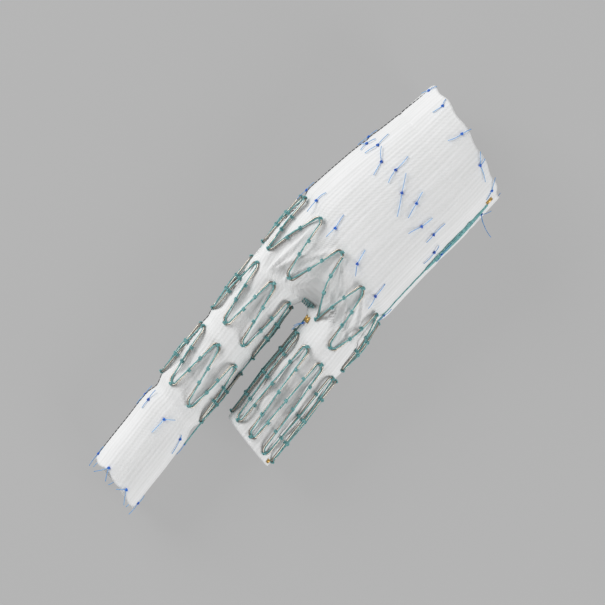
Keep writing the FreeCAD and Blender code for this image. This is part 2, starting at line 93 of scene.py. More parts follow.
class Finish:
    """A material: its constants, and the fields that feed its shader."""

    def __init__(self, name, constants):
        self.material = bpy.data.materials.new(name)
        self.material.use_nodes = True
        self.tree = self.material.node_tree
        self.shader = self.tree.nodes["Principled BSDF"]
        for socket, value in constants.items():
            self.shader.inputs[socket].default_value = value

    def add(self, kind, settings, inputs, output=0):
        node = self.tree.nodes.new(kind)
        for name, value in settings.items():
            setattr(node, name, value)
        for key, value in inputs.items() if isinstance(inputs, dict) else enumerate(inputs):
            self.feed(node.inputs[key], value)
        return Field(self, node.outputs[output])

    def feed(self, socket, value):
        if isinstance(value, Field):
            self.tree.links.new(value.socket, socket)
        else:
            socket.default_value = value

    def place(self, output="Object"):
        return self.add("ShaderNodeTexCoord", {}, {}, output)

    def grain(self, where, scale, detail=2.0):
        return self.add("ShaderNodeTexNoise", {}, {"Vector": where, "Scale": scale, "Detail": detail})

    def blend(self, share, low, high):
        return self.add("ShaderNodeMix", {"data_type": "RGBA"}, {0: share, 6: low, 7: high}, 2)

    def ramp(self, value, low, high):
        return self.add("ShaderNodeMapRange", {}, [value, low, high, 0.0, 1.0])

    def bump(self, height, distance):
        return self.add("ShaderNodeBump", {}, {"Height": height, "Distance": distance * MM})

    def wear(self, **fields):
        for name, field in fields.items():
            self.feed(self.shader.inputs[name.replace("_", " ")], field)


def table_paint():
    """A matt grey that glows evenly, with a faint grain."""
    finish = Finish("table", {
        "Roughness": 0.9, "Specular IOR Level": 0.0,
        "Emission Color": (1, 1, 1, 1), "Emission Strength": TABLE_GLOW,
    })
    grain = finish.grain(finish.place(), 40.0)
    finish.wear(Base_Color=finish.blend(grain, (0.118, 0.118, 0.118, 1), (0.122, 0.122, 0.122, 1)))
    return finish


TABLE_GLOW = 0.355
TABLE_WIDTH_M = 3.0
SURROUND_STRENGTH = 0.4
LAMP_SIZE_M = 0.45
LAMP_HEIGHT_M = 0.27
LAMPS = {"long_leg_lamp": (0.6, 3.3), "short_leg_lamp": (-0.6, 2.4)}  # metres aside, watts
bpy.ops.mesh.primitive_plane_add(size=TABLE_WIDTH_M, location=(0, 0, plain_box[0].z))
table = bpy.context.object
table.name = "table"
table.data.materials.append(table_paint().material)

world = bpy.data.worlds.new("surround")
world.use_nodes = True
surround = world.node_tree.nodes["Background"]
surround.inputs["Color"].default_value = (1, 1, 1, 1)
surround.inputs["Strength"].default_value = SURROUND_STRENGTH
bpy.context.scene.world = world
bpy.context.scene.view_settings.view_transform = "Standard"

for name, (aside_m, power) in LAMPS.items():
    lamp = bpy.data.objects.new(name, bpy.data.lights.new(name, "AREA"))
    lamp.data.size = LAMP_SIZE_M
    lamp.data.energy = power
    lamp.location = (VIEW_MIDDLE[0] * MM, aside_m, LAMP_HEIGHT_M)
    lamp.rotation_euler = lamp.location.to_track_quat("Z", "Y").to_euler()
    bpy.context.collection.objects.link(lamp)


# Fabric
# One seamless woven polyester tube that forks into two legs, 0.3 thick, with a sewn seam turned out along
# the trunk's short-leg side. Ribs of thicker yarn run along it, and it dips between the wires that hold it.
TRUNK_RADIUS = 12.35
LEG_RADIUS = 6.15
FABRIC_WALL = 0.3
FORK_START = 34.5
CROTCH_DISTANCE = 45.5
LEG_GAP = 3.7
CROTCH_OFFSET = -0.7
LEG_DRIFT = math.radians(6.9)
LONG_LEG_LENGTH = 52.5
SHORT_LEG_LENGTH = 28.9
SHORT_LEG_LIFT = 0.35
TRUNK_LIFT = 0.3
FORK_ROUNDNESS = 1.6
RING_SLANT = 0.245
RING_TILT = 0.1
SEAM_END = 37.0
SEAM_WIDTH = 0.55
TRUNK_SHAPE = [(0.0, 1.0, 0.0), (0.3, 1.06, 0.0), (0.6, 1.11, 0.055), (0.87, 1.15, 0.075), (1.0, 1.165, 0.06)]
UP = Vector((0, 0, 1))
OUTWARD = Vector((1, 0, 0))

# The wires: how many bends a row has, and for each stent where its two rows of bends lie and its turn
TRUNK_POINTS = 11
LONG_LEG_POINTS = 7
SHORT_LEG_POINTS = 9
MOUTH_STENT = (1.35, 16.3, 5.5)
MIDDLE_STENT = (17.7, 32.8, 3.7)
OUTER_STENT = (34.25, 46.3, 2.4)
LEG_STENT_1 = (0.9, 13.8, -4.4)
LEG_STENT_2 = (17.7, 30.3, 5.6)
LEG_END_STENT = (36.0, 51.2, 0.0)
SHORT_STENT = (6.75, 27.5, 22.0)

# The fabric's relief: creases round the tube as (depth, distance, width), the way that it stands out over the
# bends of the inner stents, its scalloped ends, and the rounding at the crotch
TRUNK_CREASES = [(0.16, 8.45, 0.45), (0.12, 17.0, 0.5), (0.5, 34.1, 1.2)]
LONG_LEG_CREASES = [(0.65, 32.8, 1.7), (0.3, 15.8, 1.2)]
TRUNK_BEND_RELIEF = 0.1
LEG_BEND_RELIEF = 0.09
MOUTH_SCALLOP = 0.22
MOUTH_SCALLOP_LENGTH = 2.5
END_SCALLOP = 0.25
END_SCALLOP_LENGTH = 3
END_NOTCH = 0.5
CROTCH_BULGE_RANGE = (-1.5, 0.0, 2.6)
TRUNK_RELIEF_FADE = 44.0
RING_TURN_LENGTH = 8


def mix(a, b, share):
    return a * (1 - share) + b * share


def hump(value, middle, width):
    return math.exp(-(((value - middle) / width) ** 2))


def step(value, low, high):
    share = min(max((value - low) / (high - low), 0.0), 1.0)
    return share * share * (3 - 2 * share)


def plain_section(distance):
    share = min(max(distance / FORK_START, 0.0), 1.0)
    for start, end in zip(TRUNK_SHAPE, TRUNK_SHAPE[1:]):
        if share <= end[0]:
            break
    part = (share - start[0]) / (end[0] - start[0])
    return mix(start[1], end[1], part), mix(start[2], end[2], part)


def trunk_section(distance):
    """Half width, half height and middle of the trunk, evened out along it."""
    near = [plain_section(distance + 1.5 * i) for i in range(-2, 3)]
    half_width = TRUNK_RADIUS * sum(value[0] for value in near) / 5
    half_height = math.sqrt(2 * TRUNK_RADIUS ** 2 - half_width ** 2)
    y = TRUNK_RADIUS * sum(value[1] for value in near) / 5
    height = half_height - TRUNK_RADIUS + TRUNK_LIFT * min(max(distance / FORK_START, 0), 1)
    return half_width, half_height, Vector((-distance, y, height))


class Leg:
    """One leg's start and the directions along, across and up it."""

    def __init__(self, side, length, end_height):
        self.side = side
        self.length = length
        self.across = Vector((-math.sin(LEG_DRIFT), math.cos(LEG_DRIFT), 0))
        inner_edge = CROTCH_OFFSET + side * LEG_GAP / 2
        height = trunk_section(FORK_START)[2].z
        self.start = Vector((-CROTCH_DISTANCE, inner_edge, height)) + self.across * (side * LEG_RADIUS)
        drop = math.asin((height - end_height) / length)
        level = Vector((-math.cos(LEG_DRIFT), -math.sin(LEG_DRIFT), 0))
        self.along = level * math.cos(drop) - UP * math.sin(drop)
        self.up = self.along.cross(self.across)
        if self.up.z < 0:
            self.up = -self.up

    def slanted(self, distance, across, up):
        shift = self.along * -(RING_SLANT * across + RING_TILT * up)
        return self.start + self.along * distance + self.across * across + self.up * up + shift


LONG_LEG = Leg(1, LONG_LEG_LENGTH, LEG_RADIUS - TRUNK_RADIUS)
SHORT_LEG = Leg(-1, SHORT_LEG_LENGTH, LEG_RADIUS - TRUNK_RADIUS + SHORT_LEG_LIFT)


def fork_section(leg, share):
    """The lobe that turns into a leg: its middle, half sizes, directions and reach past its top."""
    half_width, half_height, trunk_middle = trunk_section(FORK_START)
    across = mix(Vector((RING_SLANT, 1, 0)), leg.across, share)
    up = mix(Vector((RING_TILT, 0, 1)), leg.up, share)
    middle = mix(trunk_middle, leg.start, share)
    middle.y = mix(trunk_middle.y, leg.start.y, 1 - (1 - share) ** FORK_ROUNDNESS)
    leg_edge = leg.start.y + leg.side * leg.across.y * LEG_RADIUS
    flank = abs(mix(trunk_middle.y + leg.side * half_width, leg_edge, share) - middle.y)
    valley = mix(trunk_middle.y, CROTCH_OFFSET + leg.side * LEG_GAP / 2, share)
    lean = math.asin(min(abs(middle.y - valley) / flank, 1.0))
    return middle, flank / across.y, mix(half_height, LEG_RADIUS, share), across, up, math.degrees(lean)


def wire_offset(distance, angle, stent, points):
    """How far down from the stent's wire a place is, along the tube."""
    near, far, turn = stent
    phase = ((angle - turn) * points / 360.0) % 1.0
    return distance - mix(near, far, 1 - abs(1 - 2 * phase))


def pockets(distance, angle, stent, points, depth):
    """The fabric between the wires of a stent on its outside, drawn in by the thread."""
    near, far, _ = stent
    inside = step(distance, near - 1.5, near + 2.5) * (1 - step(distance, far - 2.0, far + 0.6))
    away = abs(wire_offset(distance, angle, stent, points))
    patch = 0.75 + 0.9 * noise.noise(Vector((distance * 0.22, angle * 0.035, points)))
    return -depth * inside * patch * (1 - math.exp(-((away / 2.2) ** 2)))


def over_bends(distance, angle, stent, points, widths):
    """How the fabric stands out over one row of an inner stent's bends and dips at the other."""
    near, far, turn = stent
    wave = math.cos(math.radians(points * (angle - turn)))
    return wave * (hump(distance, near, widths[0]) - hump(distance, far, widths[1]))


def creases(distance, places):
    return sum(depth * hump(distance, middle, width) for depth, middle, width in places)


def trunk_relief(distance, angle):
    """How far the fabric stands out of its even shape on the trunk and the fork."""
    relief = TRUNK_BEND_RELIEF * over_bends(distance, angle, MOUTH_STENT, TRUNK_POINTS, (2.5, 1.6))
    relief += TRUNK_BEND_RELIEF * over_bends(distance, angle, MIDDLE_STENT, TRUNK_POINTS, (1.6, 2.0))
    relief -= creases(distance, TRUNK_CREASES)
    relief += pockets(distance, angle, OUTER_STENT, TRUNK_POINTS, depth=0.85)
    return relief + 0.12 * noise.noise(Vector((distance * 0.12, angle * 0.02, 3.0)))


def crotch_bulge(leg, distance, angle):
    """The rounding of the legs' inner sides towards each other where they part."""
    start, crotch, end = CROTCH_BULGE_RANGE
    inner = max(-leg.side * math.sin(math.radians(angle)), 0.0)
    return inner ** 6 * step(distance, start, crotch) * (1 - step(distance, crotch, end))


def leg_relief(leg, distance, angle):
    """The same on a leg."""
    relief = 0.1 * noise.noise(Vector((distance * 0.2, angle * 0.025, 7.0 * leg.side)))
    relief += crotch_bulge(leg, distance, angle)
    if leg is SHORT_LEG:
        past = distance - SHORT_LEG_LENGTH
        relief += pockets(distance, angle, SHORT_STENT, SHORT_LEG_POINTS, depth=0.75)
        relief += 0.05 * math.sin(9.0 * past) * step(past, -2.0, -0.4)
        return relief
    relief += pockets(distance, angle, LEG_STENT_1, LONG_LEG_POINTS, depth=0.75)
    relief += pockets(distance, angle, LEG_STENT_2, LONG_LEG_POINTS, depth=0.95)
    relief -= creases(distance, LONG_LEG_CREASES)
    return relief + LEG_BEND_RELIEF * over_bends(distance, angle, LEG_END_STENT, LONG_LEG_POINTS, (2.0, 2.5))


FABRIC_COLUMNS = 110
FABRIC_STEP = 0.5
fabric_points = []
fabric_spots = []
fabric_faces = []


def fabric_ring(leg, distance):
    """One side's row of points across the trunk or round a leg, from the underside to the top."""
    rows = []
    down = distance - CROTCH_DISTANCE
    if down > 0:
        web = math.degrees(math.asin(FABRIC_WALL / LEG_RADIUS))
        reach = 180.0 - web
    elif distance <= FORK_START:
        wide, tall, middle = trunk_section(distance)
        across, up, reach = Vector((RING_SLANT, 1, 0)), Vector((RING_TILT, 0, 1)), 90.0
    else:
        share = (distance - FORK_START) / (CROTCH_DISTANCE - FORK_START)
        middle, wide, tall, across, up, lean = fork_section(leg, share)
        web = math.degrees(math.asin(FABRIC_WALL / tall))
        reach = 90.0 + lean * (90.0 - web) / 90.0
    for i in range(FABRIC_COLUMNS + 1):
        share = i / FABRIC_COLUMNS
        degrees = mix(-reach, reach, share)
        angle = math.radians(degrees)
        girth = leg.side * (90.0 - degrees)
        sewn = leg is SHORT_LEG and distance < SEAM_END and abs(2 * i - FABRIC_COLUMNS) < 3
        if down > 0:
            edge = 0.0
            if leg is LONG_LEG:
                edge = END_SCALLOP * math.cos(math.radians(LONG_LEG_POINTS * girth))
                edge -= END_NOTCH * hump(girth, 10, 40)
                edge *= step(down, leg.length - END_SCALLOP_LENGTH, leg.length)
            radius = LEG_RADIUS + leg_relief(leg, down, girth)
            y, z = leg.side * radius * math.cos(angle), radius * math.sin(angle)
            slanted = leg.slanted(down + edge, y, z)
            square = leg.start + leg.along * down + leg.across * y + leg.up * z
            rows.append(mix(square, slanted, step(down, 0, RING_TURN_LENGTH)))
        else:
            relief = trunk_relief(distance, girth) * (1 - step(distance, TRUNK_RELIEF_FADE, CROTCH_DISTANCE))
            relief += crotch_bulge(leg, down, girth)
            relief += SEAM_WIDTH * sewn * (1 - step(distance, SEAM_END - 2, SEAM_END))
            y = leg.side * (wide + relief) * math.cos(angle)
            z = (tall + relief) * math.sin(angle)
            wave = MOUTH_SCALLOP * math.cos(math.radians(TRUNK_POINTS * (girth - MOUTH_STENT[2])))
            shift = Vector((wave * (1 - step(distance, 0.0, MOUTH_SCALLOP_LENGTH)), 0, 0))
            rows.append(middle + across * y + up * z + shift)
    return rows


def add_fabric_row(row, spots):
    first = len(fabric_points)
    fabric_points.extend(row)
    fabric_spots.extend(spots)
    return list(range(first, first + len(row)))


def join_fabric_rows(here, there):
    for j in range(len(here)):
        k = (j + 1) % len(here)
        fabric_faces.append((here[j], there[j], there[k], here[k]))


def fabric_spot(leg, i, distance):
    """Where a point lies on the flat cloth."""
    column = leg.side * (FABRIC_COLUMNS - i) * math.pi * LEG_RADIUS * 2 / FABRIC_COLUMNS
    return column, distance


columns = range(FABRIC_COLUMNS + 1)
steps = round(CROTCH_DISTANCE / FABRIC_STEP)
last = None
for n in range(steps + 1):
    distance = CROTCH_DISTANCE * n / steps
    long_side = fabric_ring(LONG_LEG, distance)
    short_side = fabric_ring(SHORT_LEG, distance)[::-1]
    long_spots = [fabric_spot(LONG_LEG, i, distance) for i in columns]
    short_spots = [fabric_spot(SHORT_LEG, i, distance) for i in columns][::-1]
    row = add_fabric_row(long_side + short_side, long_spots + short_spots)
    if last:
        join_fabric_rows(last, row)
    last = row
long_row, short_row = last[:len(columns)], last[len(columns):]
fabric_faces.append((long_row[-1], long_row[0], short_row[-1], short_row[0]))
for leg, last in ((LONG_LEG, long_row), (SHORT_LEG, short_row)):
    steps = round(leg.length / FABRIC_STEP)
    for n in range(1, steps + 1):
        distance = CROTCH_DISTANCE + leg.length * n / steps
        ring = fabric_ring(leg, distance)
        spots = [fabric_spot(leg, i, distance) for i in columns]
        if leg is SHORT_LEG:
            ring.reverse()
            spots.reverse()
        row = add_fabric_row(ring, spots)
        join_fabric_rows(last, row)
        last = row


def mesh_object(name, points, faces, finish, spots=None):
    mesh = bpy.data.meshes.new(name)
    mesh.from_pydata([point * MM for point in points], [], faces)
    mesh.materials.append(finish.material)
    if spots:
        layer = mesh.uv_layers.new(name="cloth")
        for loop in mesh.loops:
            layer.data[loop.index].uv = spots[loop.vertex_index]
    mesh.shade_smooth()
    piece = bpy.data.objects.new(name, mesh)
    bpy.context.collection.objects.link(piece)
    return piece


def woven_finish():
    """White polyester: fine ribs along the tube and a plain weave, with painted shade in their grooves, and
    yarns that differ a little.
    """
    finish = Finish("woven_polyester", {
        "Roughness": 0.75, "Specular IOR Level": 0.25, "Sheen Weight": 0.15, "Sheen Roughness": 0.6,
    })
    spot = finish.add("ShaderNodeUVMap", {"uv_map": "cloth"}, {})
    u = finish.add("ShaderNodeSeparateXYZ", {}, [spot], 0)
    v = finish.add("ShaderNodeSeparateXYZ", {}, [spot], 1)
    rib = (u * (2 * math.pi / 0.9)).math("SINE")
    warp = (u * (2 * math.pi / 0.36)).math("SINE")
    weft = (v * (2 * math.pi / 0.42)).math("SINE")
    along = finish.add("ShaderNodeCombineXYZ", {}, [u * 1.1, v * 0.05, 0.0])
    yarns = finish.grain(along, 1.0, 3.0)
    patches = finish.grain(finish.place(), 90.0, 2.0)
    # The ribs and the weave darken the colour in their grooves as painted shade; the yarns and patches vary
    # its tone at random.
    tone = finish.ramp(rib * 0.09 + warp * weft * 0.1 + yarns * 0.9 + patches * 0.35, 0.3, 0.95)
    cloth = finish.blend(tone, (0.76, 0.765, 0.76, 1), (0.9, 0.9, 0.905, 1))
    height = rib * 0.35 + warp * weft * 0.35 + yarns * 1.2
    finish.wear(Base_Color=cloth, Normal=finish.bump(height, 0.05))
    return finish


cloth_finish = woven_finish()
fabric = mesh_object("woven_fabric", fabric_points, fabric_faces, cloth_finish, fabric_spots)
thickness = fabric.modifiers.new("thickness", "SOLIDIFY")
thickness.thickness = FABRIC_WALL * MM
thickness.offset = -1
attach(fabric, "root")
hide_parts("graft_fabric")
TRUNK_GIRTH = 2 * math.pi * TRUNK_RADIUS
LEG_GIRTH = 2 * math.pi * LEG_RADIUS


# Wire stents
# Drawn steel wire 0.4 thick, bent to a closed zigzag. Four lie on the outside of the fabric, one round the
# fork, two on the long leg and one on the short leg, and three lie inside it.
WIRE_RADIUS = 0.2
WIRE_CLEARANCE = 0.06
BEND_RADIUS = 0.95
BEND_STEPS = 8
STRUT_STEPS = 20

# One bend of the outer trunk stent would show in the gap between the legs, so it is drawn up under the crotch
UNDER_CROTCH = 182.4
CROTCH_DRAW = 2.8
CROTCH_DRAW_SPREAD = 13
CROTCH_DRAW_RANGE = (40.0, 45.0)


def oval_point(middle, across, up, wide, tall, angle, growth):
    point = middle + across * ((wide + growth) * math.cos(angle)) + up * ((tall + growth) * math.sin(angle))
    return point, Vector((0, across.y * math.cos(angle) / wide, math.sin(angle) / tall)).normalized()


def lobe_point(leg, past, target, half_height, growth):
    if past <= 1:
        middle, wide, tall, across, up, lean = fork_section(leg, past)
    else:
        middle, wide, tall = leg.start + leg.along * ((past - 1) * leg.length), LEG_RADIUS, LEG_RADIUS
        across, up, lean = leg.across, leg.up, 90.0
    sideways = leg.side * (target.y - middle.y) / wide
    reach = math.radians(90.0 + lean)
    angle = min(max(math.atan2((target.z - middle.z) / half_height, sideways), -reach), reach)
    return oval_point(middle, across * leg.side, up, wide, tall, angle, growth)


def over_trunk(distance, degrees, growth):
    """A point over the trunk or the fork, and the way out there. Under the crotch it is drawn up a little."""
    past_fork = step(distance, *CROTCH_DRAW_RANGE)
    distance -= CROTCH_DRAW * hump(degrees % 360, UNDER_CROTCH, CROTCH_DRAW_SPREAD) * past_fork
    angle = math.radians(90.0 - degrees)
    half_width, half_height, middle = trunk_section(distance)
    across, up = Vector((RING_SLANT, 1, 0)), Vector((RING_TILT, 0, 1))
    target, out = oval_point(middle, across, up, half_width, half_height, angle, growth)
    if distance <= FORK_START:
        return target, out
    leg = LONG_LEG if target.y > CROTCH_OFFSET else SHORT_LEG
    low, high = 0.0, 2.0
    for _ in range(24):
        past = (low + high) / 2
        point, out = lobe_point(leg, past, target, half_height, growth)
        low, high = (past, high) if point.x > target.x else (low, past)
    return point, out


def over_leg(leg):
    """The same over a leg."""

    def over(distance, degrees, growth):
        angle = math.radians(degrees)
        out = leg.across * math.sin(angle) + leg.up * math.cos(angle)
        reach = LEG_RADIUS + growth
        return leg.slanted(distance, reach * math.sin(angle), reach * math.cos(angle)), out

    return over


over_long, over_short = over_leg(LONG_LEG), over_leg(SHORT_LEG)
TRUNK = (over_trunk, TRUNK_POINTS, TRUNK_GIRTH)
LONG = (over_long, LONG_LEG_POINTS, LEG_GIRTH)
SHORT = (over_short, SHORT_LEG_POINTS, LEG_GIRTH)


def zigzag(points, girth, stent):
    """The wire's line on the flat cloth, round and down it, with the way towards the inside of its bends."""
    near, far, turn = stent
    pitch = girth / points / 2
    rise = far - near
    for _ in range(4):
        half = math.atan(pitch / rise)
        rise = far - near + 2 * BEND_RADIUS * (1 / math.sin(half) - 1)
    line = []
    turned = math.pi / 2 - half
    for i in range(2 * points):
        way = -1 if i % 2 == 0 else 1
        crown = near + BEND_RADIUS if i % 2 == 0 else far - BEND_RADIUS
        for j in range(BEND_STEPS + 1):
            angle = mix(-turned, turned, j / BEND_STEPS)
            outward = Vector((math.sin(angle), way * math.cos(angle)))
            line.append((Vector((i * pitch, crown)) + outward * BEND_RADIUS, -outward))
        spot, inward = line[-1]
        crown = far - BEND_RADIUS if i % 2 == 0 else near + BEND_RADIUS
        outward = Vector((-math.sin(turned), -way * math.cos(turned)))
        ahead = Vector(((i + 1) * pitch, crown)) + outward * BEND_RADIUS
        for j in range(1, STRUT_STEPS):
            share = j / STRUT_STEPS
            line.append((mix(spot, ahead, share), inward * (1 - 2 * share)))
    return line


def wire_line(over, points, girth, stent, growth):
    """The wire's points, each with the ways along, out, and towards the inside of its bends."""

    def on_cloth(spot):
        return over(spot.y, stent[2] + 360.0 * spot.x / girth, growth)

    flat = zigzag(points, girth, stent)
    placed = [on_cloth(spot) for spot, _ in flat]
    count = len(flat)
    run = BEND_STEPS + STRUT_STEPS
    for first in range(BEND_STEPS, count, run):
        start, end = placed[first], placed[(first + STRUT_STEPS) % count]
        out = (start[1] + end[1]).normalized()
        needed = []
        for j in range(3, STRUT_STEPS - 2):
            straight = mix(start[0], end[0], j / STRUT_STEPS)
            needed.append((placed[first + j][0] - straight).dot(out) / math.sin(math.pi * j / STRUT_STEPS))
        for j in range(1, STRUT_STEPS):
            share = j / STRUT_STEPS
            bow = max(needed) * math.sin(math.pi * share)
            placed[first + j] = (mix(start[0], end[0], share) + out * bow, mix(start[1], end[1], share))
    line = []
    for i, (point, out) in enumerate(placed):
        along = (placed[(i + 1) % count][0] - placed[i - 1][0]).normalized()
        out = (out - along * out.dot(along)).normalized()
        way = flat[i][1]
        turned = on_cloth(flat[i][0] + way.normalized() * 0.1)[0] - on_cloth(flat[i][0])[0]
        aside = (turned - along * turned.dot(along) - out * turned.dot(out)).normalized() * way.length
        line.append((point, along, out, aside))
    return line


def sweep(points, radius, sides, closed=False, thin_end=False):
    """A round thread or wire along points, as corners and faces."""
    count = len(points)
    corners, faces = [], []
    side = None
    for i, point in enumerate(points):
        before = points[i - 1] if closed or i else point
        after = points[(i + 1) % count] if closed or i < count - 1 else point
        along = (after - before).normalized()
        if side is None:
            side = along.orthogonal().normalized()
        side = (side - along * side.dot(along)).normalized()
        top = along.cross(side)
        size = radius * (0.75 if thin_end and i == count - 1 else 1)
        for j in range(sides):
            angle = 2 * math.pi * j / sides
            corners.append(point + (side * math.cos(angle) + top * math.sin(angle)) * size)
    shift = 0
    if closed:
        shift = min(range(sides), key=lambda k: (corners[k] - corners[-sides]).length)
    for i in range(count if closed else count - 1):
        here, there = i * sides, (i + 1) % count * sides
        skip = shift if there == 0 else 0
        for j in range(sides):
            k = (j + 1) % sides
            faces.append((here + j, here + k, there + (k + skip) % sides, there + (j + skip) % sides))
    if not closed:
        faces.append(tuple(range(sides))[::-1])
        faces.append(tuple(range((count - 1) * sides, count * sides)))
    return corners, faces


def gathered(parts):
    corners, faces = [], []
    for more_corners, more_faces in parts:
        first = len(corners)
        corners.extend(more_corners)
        faces.extend(tuple(first + i for i in face) for face in more_faces)
    return corners, faces


def dressed(node, name, parts, finish, ends=(), ends_finish=None):
    piece = mesh_object(name, *gathered([*parts, *ends]), finish)
    if ends:
        piece.data.materials.append(ends_finish.material)
        for polygon in piece.data.polygons[sum(len(faces) for _, faces in parts):]:
            polygon.material_index = 1
    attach(piece, "root")
    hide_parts(node)
    return piece


def steel_finish():
    """Polished drawn wire, with fine draw marks along it."""
    finish = Finish("polished_wire", {"Metallic": 1.0, "Specular IOR Level": 0.5})
    marks = finish.grain(finish.place(), 400.0, 1.0)
    finish.wear(
        Base_Color=finish.blend(marks, (0.3, 0.27, 0.235, 1), (0.52, 0.48, 0.43, 1)),
        Roughness=marks * 0.15 + 0.2,
    )
    return finish


wire_finish = steel_finish()
OUTER_STENTS = {
    "trunk_outer_stent": (*TRUNK, OUTER_STENT),
    "long_leg_upper_stent": (*LONG, LEG_STENT_1),
    "long_leg_lower_stent": (*LONG, LEG_STENT_2),
    "short_leg_stent": (*SHORT, SHORT_STENT),
}
INNER_STENTS = {
    "trunk_mouth_stent": (*TRUNK, MOUTH_STENT),
    "trunk_middle_stent": (*TRUNK, MIDDLE_STENT),
    "long_leg_end_stent": (*LONG, LEG_END_STENT),
}
wire_lines = {}
for node, (over, points, girth, stent) in {**OUTER_STENTS, **INNER_STENTS}.items():
    outside = node in OUTER_STENTS
    growth = WIRE_CLEARANCE + WIRE_RADIUS if outside else -FABRIC_WALL - 0.2 - WIRE_RADIUS
    wire_lines[node] = wire_line(over, points, girth, stent, growth)
    path = [point for point, _, _, _ in wire_lines[node]]
    dressed(node, node + "_wire", [sweep(path, WIRE_RADIUS, 10, closed=True)], wire_finish)


# Braided thread
# Green polyester braid sews each outer stent on: it runs beside the wire, cuts inside its bends, crosses it
# halfway down each strut, and is wrapped and knotted round it at each bend and two or three times a strut.
BRAID_RADIUS = 0.15
BRAID_ASIDE = 0.32
BRAID_SINK = 0.04
WRAP_RADIUS = 0.11
WRAP_TURNS = 3
KNOT_SIZE = 0.11
KNOT_STEPS = 30
COIL_STEPS = 10
STITCHES_PER_STRUT = (0.33, 0.67)
SHORT_LEG_STITCHES_PER_STRUT = (0.22, 0.5, 0.78)


def knot_loop(middle, along, beside, out, size, radius, sides=6):
    """A small drawn-up knot, a thread that goes three times over and under itself."""
    loop = []
    for i in range(KNOT_STEPS):
        t = 2 * math.pi * i / KNOT_STEPS
        x, y, z = math.sin(t) + 2 * math.sin(2 * t), math.cos(t) - 2 * math.cos(2 * t), -math.sin(3 * t)
        loop.append(middle + (along * x + beside * y) * size / 2 + out * z * size * 0.8)
    return sweep(loop, radius, sides, closed=True)


def wrap(middle, along, out):
    """Thread wound round the wire, with its knot on top."""
    beside = along.cross(out)
    coil = []
    for i in range(WRAP_TURNS * COIL_STEPS + 1):
        turn = i / COIL_STEPS
        angle = 2 * math.pi * turn
        away = WIRE_RADIUS + WRAP_RADIUS
        spot = (turn - WRAP_TURNS / 2) * 2 * WRAP_RADIUS
        coil.append(middle + along * spot + (out * math.cos(angle) + beside * math.sin(angle)) * away)
    knot = knot_loop(middle + out * (WIRE_RADIUS + 0.2), along, beside, out, KNOT_SIZE, WRAP_RADIUS * 0.8)
    return [sweep(coil, WRAP_RADIUS, 6), knot]


def braid_finish(name, dark, light):
    finish = Finish(name, {"Roughness": 0.7, "Specular IOR Level": 0.3})
    plaits = finish.grain(finish.place(), 2600.0, 2.0)
    tone = finish.ramp(plaits, 0.35, 0.65)
    finish.wear(Base_Color=finish.blend(tone, dark, light), Normal=finish.bump(plaits, 0.05))
    return finish


green_braid = braid_finish("green_braid", (0.09, 0.27, 0.28, 1), (0.26, 0.54, 0.54, 1))
for node in OUTER_STENTS:
    line = wire_lines[node]
    beside_wire = []
    for point, _, out, aside in line:
        over_wire = (1 - aside.length) * (WIRE_RADIUS + BRAID_RADIUS)
        beside_wire.append(point + aside * BRAID_ASIDE + out * (over_wire - BRAID_SINK))
    parts = [sweep(beside_wire, BRAID_RADIUS, 6, closed=True)]
    per_strut = SHORT_LEG_STITCHES_PER_STRUT if node == "short_leg_stent" else STITCHES_PER_STRUT
    run = BEND_STEPS + STRUT_STEPS
    for first in range(0, len(line), run):
        for at in [BEND_STEPS // 2] + [BEND_STEPS + round(STRUT_STEPS * share) for share in per_strut]:
            point, along, out, _ = line[first + at]
            parts += wrap(point, along, out)
    dressed(node + "_stitches", node + "_braid", parts, green_braid)


